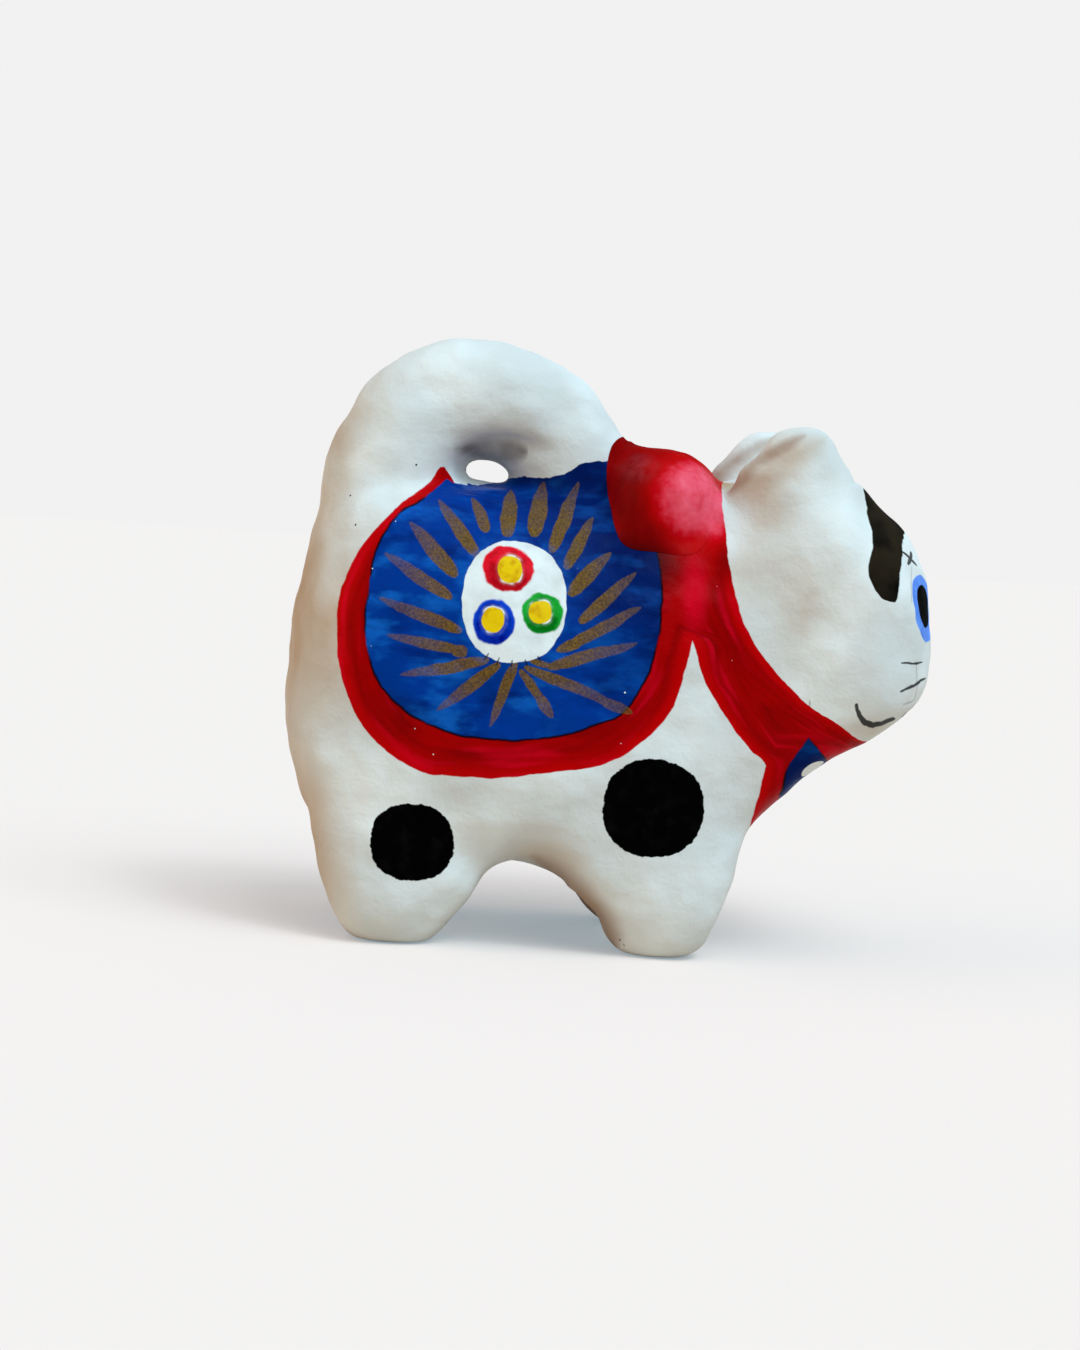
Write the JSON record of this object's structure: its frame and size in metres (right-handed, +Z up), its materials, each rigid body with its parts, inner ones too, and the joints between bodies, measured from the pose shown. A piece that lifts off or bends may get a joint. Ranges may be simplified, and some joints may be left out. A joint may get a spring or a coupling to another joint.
{
  "type": "papier-mache dog figurine",
  "caption": "Standing hollow paper dog ornament with an arched looped tail, petal ears, a raised collar knot and flat soles; it rests on a shelf as a keepsake.",
  "frame": {"origin": "on the floor plane under the middle of the bounding box", "axes": "+X towards the dog's face, +Y towards the dog's left side, +Z up"},
  "size_m": [0.1103, 0.0556, 0.1017],
  "materials": {
    "coated_paper": "chalk ground, painted by hand",
    "red_painted_paper": "satin paint",
    "bare_paper": "matte"
  },
  "bodies": {
    "root": {"body_shell_right": "coated_paper", "body_shell_left": "coated_paper", "tail_shell_right": "coated_paper", "tail_shell_left": "coated_paper", "ear_right": "coated_paper", "ear_left": "coated_paper", "collar_knot": "red_painted_paper", "sole_front_right": "bare_paper", "sole_front_left": "bare_paper", "sole_hind_right": "bare_paper", "sole_hind_left": "bare_paper", "seam_strip_face": "bare_paper", "seam_strip_back": "bare_paper", "seam_strip_rump": "bare_paper", "seam_strip_belly": "bare_paper", "seam_strip_chest": "bare_paper", "tail_strip_outer": "bare_paper", "tail_strip_inner": "bare_paper"}
  },
  "joints": []
}
